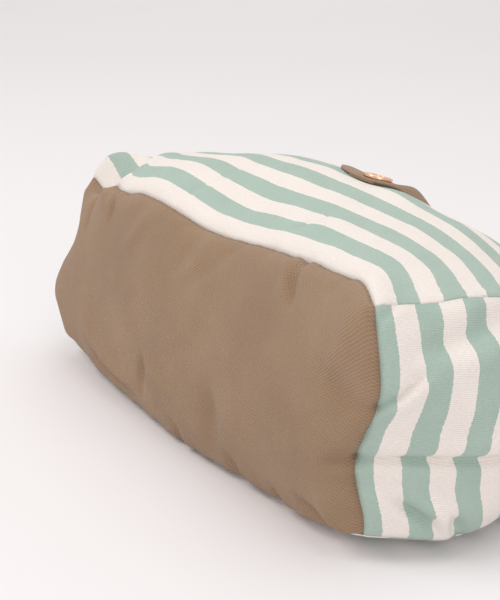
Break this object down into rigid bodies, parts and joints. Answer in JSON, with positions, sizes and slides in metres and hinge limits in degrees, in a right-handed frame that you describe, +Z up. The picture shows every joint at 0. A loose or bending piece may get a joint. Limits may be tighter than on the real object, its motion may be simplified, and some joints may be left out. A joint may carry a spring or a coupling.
{
  "type": "laundry bag",
  "caption": "Filled striped canvas laundry bag lying on its back, with a brown base, webbing handles and a round-cornered tab with a metal eyelet.",
  "frame": {"origin": "middle of the back panel's outer face, on the floor the bag lies on, half way between the base seam and the mouth", "axes": "+X across the bag to its right side seen from the base with the front panel up, +Y from the base to the mouth, +Z up out of the front panel"},
  "size_m": [0.6046, 0.5966, 0.2297],
  "materials": {
    "striped_canvas": "woven cotton canvas with even mint green and off-white stripes running along the bag's width",
    "brown_canvas": "heavy plain-weave canvas, matt",
    "lining_cloth": "plain off-white cotton",
    "seam_tape": "narrow woven tape",
    "webbing": "tightly woven cotton webbing",
    "eyelet_metal": "polished rose gold plating"
  },
  "bodies": {
    "bag": {"base_panel": "brown_canvas", "front_panel": "striped_canvas", "back_panel": "striped_canvas", "left_gusset": "striped_canvas", "right_gusset": "striped_canvas", "front_facing": "lining_cloth", "back_facing": "lining_cloth", "left_facing": "lining_cloth", "right_facing": "lining_cloth", "base_seam_binding": "seam_tape", "front_left_binding": "seam_tape", "front_right_binding": "seam_tape", "back_left_binding": "seam_tape", "back_right_binding": "seam_tape", "tab_patch": "brown_canvas"},
    "tab": {"tab_outer": "brown_canvas", "tab_lining": "brown_canvas", "eyelet": "eyelet_metal", "eyelet_washer": "eyelet_metal"},
    "front_loop": {"front_handle": "webbing"},
    "back_loop": {"back_handle": "webbing"}
  },
  "joints": [
    {"name": "tab_fold", "type": "hinge", "parent": "bag", "child": "tab", "pos_m": [0, 0.17658, 0.00527], "axis": [-1, 0, 0], "range_deg": [0, 90]},
    {"name": "front_handle_fold", "type": "hinge", "parent": "bag", "child": "front_loop", "pos_m": [0, 0.16669, 0.07351], "axis": [1, 0, 0], "range_deg": [0, 110]},
    {"name": "back_handle_fold", "type": "hinge", "parent": "bag", "child": "back_loop", "pos_m": [0, 0.17679, 0.0015], "axis": [1, 0, 0], "range_deg": [0, 90]}
  ]
}
